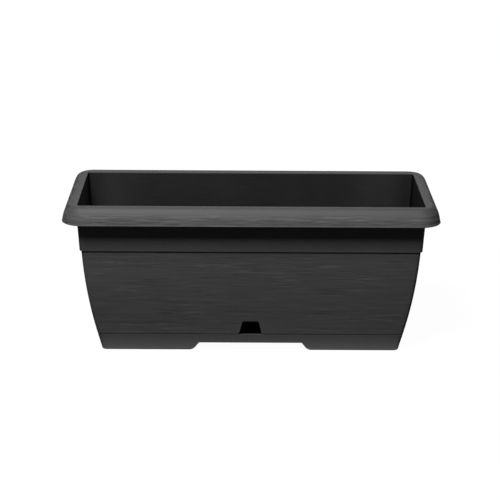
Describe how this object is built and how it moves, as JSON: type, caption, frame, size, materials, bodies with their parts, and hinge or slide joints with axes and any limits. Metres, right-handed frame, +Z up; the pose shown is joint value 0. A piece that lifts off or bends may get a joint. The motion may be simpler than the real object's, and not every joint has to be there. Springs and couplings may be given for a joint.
{
  "type": "trough planter",
  "caption": "Rectangular plastic trough planter with a rolled rim and curved tapering walls, standing on a lift-off water tray with two feet.",
  "frame": {"origin": "on the ground under the middle of the planter", "axes": "+X along the planter's length, +Y from the front with the filling notch to the back, +Z up"},
  "size_m": [0.6, 0.25, 0.2567],
  "materials": {
    "planter_plastic": "satin dark grey with a moulded wood grain",
    "tray_plastic": "satin dark grey, smooth"
  },
  "bodies": {
    "water_tray": {"water_tray": "tray_plastic"},
    "planter": {"planter_shell": "planter_plastic"}
  },
  "joints": [
    {"name": "planter_lift", "type": "slide", "parent": "water_tray", "child": "planter", "axis": [0, 0, 1], "range_m": [0, 0.06]}
  ]
}
